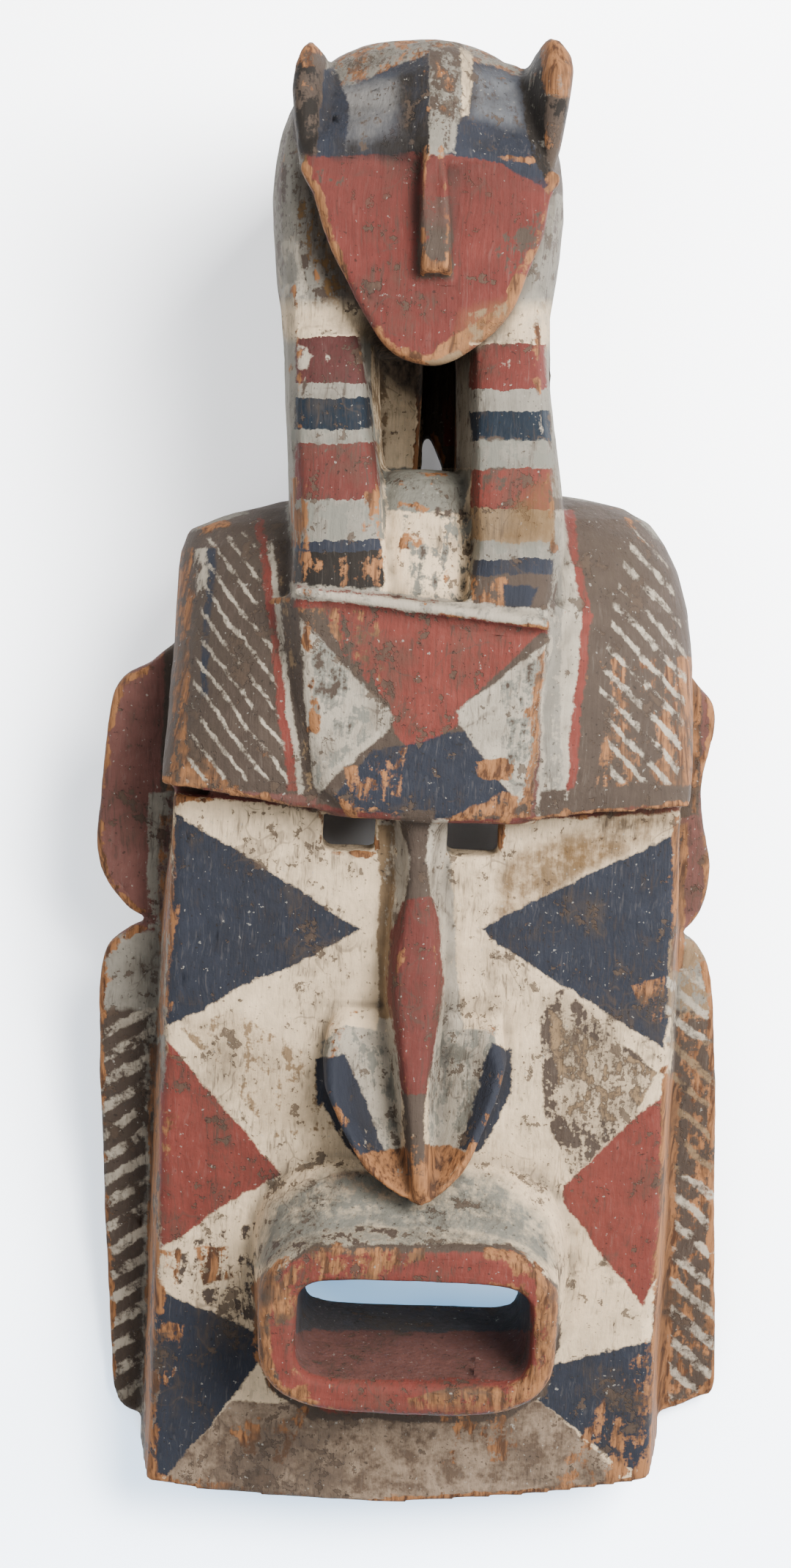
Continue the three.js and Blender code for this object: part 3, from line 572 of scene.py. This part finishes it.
    swayed = vectors("MULTIPLY_ADD", broad.outputs["Color"], (0.006, 0.006, 0.006), place)
    grain_at = vectors("MULTIPLY", swayed, (330.0, 11.0, 330.0))
    grain = clouds(grain_at, 1.0, 3.0, 0.65).outputs["Fac"]
    soil = clouds(place, 24.0, 4.0, 0.68).outputs["Fac"]
    fleck = clouds(place, 90.0, 4.0, 0.72).outputs["Fac"]
    speck = clouds(place, 380.0, 2.0, 0.6).outputs["Fac"]
    streak_at = vectors("MULTIPLY", swayed, (150.0, 22.0, 90.0))
    streak = clouds(streak_at, 1.0, 3.0, 0.7).outputs["Fac"]
    raw = blend(step_between(grain, 0.38, 0.56), WOOD_GRAIN, RAW)
    raw = blend(step_between(soil, 0.52, 0.66), raw, WOOD_SOILED)
    old = blend(step_between(grain, 0.38, 0.64), DARK, BROWN)
    old = blend(step_between(fleck, 0.48, 0.68), old, OLD_FLECK)
    mottled = blend(step_between(fleck, 0.40, 0.60), CRUST_LOW, CRUST_HIGH)
    mottled = blend(step_between(soil, 0.52, 0.66), mottled, CRUST_SOILED)

    # Coats, each one thinner or thicker. A thin coat shows in patches, a glaze in streaks.

    height_here = put("ShaderNodeSeparateXYZ", {0: place}).outputs[2]
    patches = sums("ADD", sums("MULTIPLY", fleck, 0.6), sums("MULTIPLY", streak, 0.4))
    brushed = sums("ADD", 0.5, sums("MULTIPLY", step_between(patches, 0.40, 0.54), 0.5))

    def lay(coats, under):
        for tone, corners, cover, *heights in coats:
            if not in_zone(corners):
                continue
            laid = inside(corners, COAT_EDGE if cover > 0.0 else GLAZE_EDGE)
            if cover < 0.0:
                laid = sums("MULTIPLY", sums("MULTIPLY", laid, -cover * 1.2), brushed)
            elif cover < 1.0:
                bare = 0.5 + (cover - 0.5) * 0.34
                laid = sums("MULTIPLY", laid, step_between(patches, bare + 0.025, bare - 0.025))
            if heights:
                laid = sums("MULTIPLY", laid, step_between(height_here, heights[0], heights[0] + 0.002))
            if len(heights) > 1:
                laid = sums("MULTIPLY", laid, step_between(height_here, heights[1] + 0.002, heights[1]))
            under = blend(laid, under, {"mottled": mottled, RAW: raw}.get(tone, tone))
        return under

    colour = (*PALE, 1.0)
    if bottom > FLAPS_TOP:
        lobes = blend(step_between(drawn.outputs[1], FLAP_BROWN, FLAP_BROWN + 6.0), PALE, BROWN)
        colour = blend(step_between(drawn.outputs[1], FLAP_PALE, FLAP_PALE + 4.0), DULL_RED, lobes)
    colour = lay(COATS, colour)
    for tone, corners, (run_x, run_y), pitch, share in STROKES:
        if in_zone(corners):
            run = sums("ADD", sums("MULTIPLY", drawn.outputs[0], run_x / pitch),
                       sums("MULTIPLY", drawn.outputs[1], run_y / pitch))
            start = 0.5 - share * 0.5
            line = step_between(sums("PINGPONG", run, 0.5), start - 0.04, start + 0.04)
            kept = sums("MULTIPLY", line, step_between(fleck, 0.58, 0.46))
            colour = blend(sums("MULTIPLY", inside(corners), kept), colour, tone)
    for corners, levels in BANDS:
        if in_zone(corners):
            ramp = put("ShaderNodeValToRGB", {0: step_between(drawn.outputs[1], BANDS_TOP, BANDS_END)})
            ramp.color_ramp.interpolation = "CONSTANT"
            keys = ramp.color_ramp.elements
            while len(keys) < len(levels):
                keys.new(0.5)
            for key, (level, tone) in zip(keys, levels):
                key.position = (level - BANDS_TOP) / (BANDS_END - BANDS_TOP)
            for key, (level, tone) in zip(keys, levels):
                key.color = (*tone, 1.0)
            colour = blend(inside(corners), colour, ramp.outputs[0])

    # Wear. Coats are uneven, stained brown, scuffed pale and chipped to the old wood; edges are
    # rubbed bare here and there, and hollows are darkened

    edge = put("ShaderNodeAttribute", attribute_name="edge").outputs["Fac"]
    hollow_dark = put("ShaderNodeAttribute", attribute_name="hollow_dark").outputs["Fac"]
    seen = put("ShaderNodeAttribute", attribute_name="seen").outputs["Fac"]
    thick = sums("ADD", sums("MULTIPLY", soil, 0.9), sums("MULTIPLY", fleck, 0.7))
    thick = sums("ADD", thick, sums("MULTIPLY", streak, 0.5))
    thick = put("ShaderNodeMapRange", {0: thick, 1: 0.72, 2: 1.32, 3: 1.25, 4: 0.72}).outputs[0]
    uneven = put("ShaderNodeMix", {0: 1.0, 6: colour}, data_type="RGBA", blend_type="MULTIPLY")
    tree.links.new(thick, uneven.inputs[7])
    colour = uneven.outputs[2]
    scratch = clouds(vectors("MULTIPLY", swayed, (620.0, 44.0, 400.0)), 1.0, 2.0, 0.7).outputs["Fac"]
    scuffed = sums("MULTIPLY", step_between(scratch, 0.53, 0.68), step_between(soil, 0.40, 0.56))
    colour = blend(sums("MULTIPLY", scuffed, 0.62), colour, SCUFF)
    paled = sums("MULTIPLY", step_between(scratch, 0.44, 0.31), step_between(soil, 0.56, 0.42))
    colour = blend(sums("MULTIPLY", paled, 0.10), colour, PALE_SCRATCH)
    stained = step_between(sums("ADD", soil, sums("MULTIPLY", streak, 0.35)), 0.70, 0.88)
    stained = sums("MULTIPLY", stained, 0.38)
    colour = blend(stained, colour, SOILED_COAT)
    chips = step_between(sums("ADD", fleck, sums("MULTIPLY", soil, 0.5)), 0.860, 0.888)
    bent = vectors("MULTIPLY_ADD", broad.outputs["Color"], (0.05, 0.05, 0.05), place)
    web = put("ShaderNodeTexVoronoi", {"Vector": bent, "Scale": 30.0}, feature="DISTANCE_TO_EDGE")
    cracks = sums("MULTIPLY", step_between(web.outputs["Distance"], 0.022, 0.010),
                  step_between(soil, 0.50, 0.56))
    colour = blend(sums("MULTIPLY", cracks, 0.4), colour, BROWN)
    colour = blend(sums("MULTIPLY", chips, 0.8), colour, old)
    colour = blend(sums("MULTIPLY", step_between(speck, 0.66, 0.71), 0.6), colour, DARK)
    colour = blend(sums("MULTIPLY", step_between(speck, 0.31, 0.27), 0.5), colour, PALE_SPECK)
    rub = sums("ADD", edge, sums("MULTIPLY", sums("SUBTRACT", fleck, 0.5), 1.3))
    rub = sums("SUBTRACT", rub, sums("MULTIPLY", sums("SUBTRACT", soil, 0.42), 1.8))
    colour = blend(step_between(rub, 0.46, 0.60), colour, raw)
    colour = lay(LAST_COATS, colour)
    # hollows darkened towards near black
    colour = blend(sums("MULTIPLY", hollow_dark, 0.8), colour, DARK)
    hidden = blend(step_between(soil, 0.4, 0.62), BARE_LOW, BARE_HIGH)
    hidden = blend(step_between(grain, 0.35, 0.65), DARK, hidden)
    colour = blend(seen, hidden, colour)

    height = sums("ADD", sums("MULTIPLY", grain, 0.5), sums("MULTIPLY", fleck, 0.7))
    height = sums("ADD", height, sums("MULTIPLY", streak, 0.4))
    height = sums("SUBTRACT", height, sums("MULTIPLY", chips, 0.3))
    bump = put("ShaderNodeBump", {"Strength": 0.7, "Distance": 0.0016, "Height": height}).outputs[0]
    shader = put("ShaderNodeBsdfPrincipled", {"Base Color": colour, "Roughness": 0.8, "Normal": bump})
    shader.inputs["Specular IOR Level"].default_value = 0.25
    put("ShaderNodeOutputMaterial", {"Surface": shader.outputs[0]})
    return paint


# Each face takes the paint of the field that its middle lies in

centres = np.empty(len(baked.polygons) * 3)
baked.polygons.foreach_get("center", centres)
centres = centres.reshape(-1, 3) - np.array(CAMERA_AT)
along = centres[:, 0] * math.cos(CAMERA_ROLL) + centres[:, 1] * math.sin(CAMERA_ROLL)
up = centres[:, 1] * math.cos(CAMERA_ROLL) - centres[:, 0] * math.sin(CAMERA_ROLL)
sheet_x = SHEET_MIDDLE[0] - along / centres[:, 2] * SHEET_PER_METRE
sheet_y = SHEET_MIDDLE[1] + up / centres[:, 2] * SHEET_PER_METRE
column = np.digitize(sheet_x, COLUMNS[1:-1])
row = np.digitize(sheet_y, ROWS[1:-1])
for r in range(len(ROWS) - 1):
    for c in range(len(COLUMNS) - 1):
        field = (COLUMNS[c], ROWS[r], COLUMNS[c + 1], ROWS[r + 1])
        mask.data.materials.append(paint_zone(f"paint_{r}_{c}", *field))
baked.polygons.foreach_set("material_index", (row * (len(COLUMNS) - 1) + column).astype(np.int32))

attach(mask, "root")
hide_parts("mask")

# Floor. A pale seamless sheet under the mask, matt and slightly cool. Its light isn't thrown back
# on the mask, as it would wash out the sides.

FLOOR_HALF = 3.0
FLOOR_TONE = (0.84, 0.85, 0.87, 1.0)
FLOOR_ROUGHNESS = 0.7

floor_mesh = bpy.data.meshes.new("floor")
bm = bmesh.new()
bmesh.ops.create_grid(bm, x_segments=1, y_segments=1, size=FLOOR_HALF)
bm.to_mesh(floor_mesh)
bm.free()
floor = bpy.data.objects.new("floor", floor_mesh)
bpy.context.scene.collection.objects.link(floor)
floor.visible_diffuse = False
pale = bpy.data.materials.new("floor_sheet")
pale.use_nodes = True
pale.node_tree.nodes["Principled BSDF"].inputs["Base Color"].default_value = FLOOR_TONE
pale.node_tree.nodes["Principled BSDF"].inputs["Roughness"].default_value = FLOOR_ROUGHNESS
floor_mesh.materials.append(pale)

# Light. A soft box above and to the right, a wide window low on the right, and an even sky. The
# floor has three lamps of its own: a wash and a lift that keep it nearly white, and a cool one at
# the chin end that reaches in under the mask and shows through the mouth.


def lamp(name, at, aim, width, depth, watts, tint=(1.0, 1.0, 1.0)):
    made = bpy.data.objects.new(name, bpy.data.lights.new(name, "AREA"))
    made.data.shape = "RECTANGLE"
    made.data.size = width
    made.data.size_y = depth
    made.data.energy = watts
    made.data.color = tint
    made.location = at
    made.rotation_euler = (Vector(aim) - Vector(at)).to_track_quat("-Z", "Y").to_euler()
    bpy.context.scene.collection.objects.link(made)
    return made


lamp("key", (0.70, 0.42, 1.6), (0.0, 0.0, 0.1), 0.8, 0.7, 52.0, (1.0, 0.985, 0.96))
lamp("window", (1.0, 0.0, 0.55), (0.0, 0.0, 0.1), 0.9, 1.6, 9.0)
mouth_light = lamp("mouth_light", (0.0, -0.95, 0.19), (0.0, -0.25, 0.0), 0.6, 0.1, 20.0, (0.22, 0.58, 1.0))
wash = lamp("floor_wash", (1.20, 0.80, 1.8), (0.38, -0.05, 0.0), 1.6, 1.0, 360.0)
lift = lamp("floor_lift", (-1.25, 0.0, 1.6), (-0.2, 0.0, 0.0), 1.4, 2.4, 80.0)
only_floor = bpy.data.collections.new("only_floor")
only_floor.objects.link(floor)
for given in (wash, lift, mouth_light):
    given.light_linking.receiver_collection = only_floor

SKY_TONE = (0.95, 0.97, 1.0, 1.0)
SKY_STRENGTH = 0.62

world = bpy.data.worlds.new("sky")
world.use_nodes = True
world.node_tree.nodes["Background"].inputs["Color"].default_value = SKY_TONE
world.node_tree.nodes["Background"].inputs["Strength"].default_value = SKY_STRENGTH
bpy.context.scene.world = world
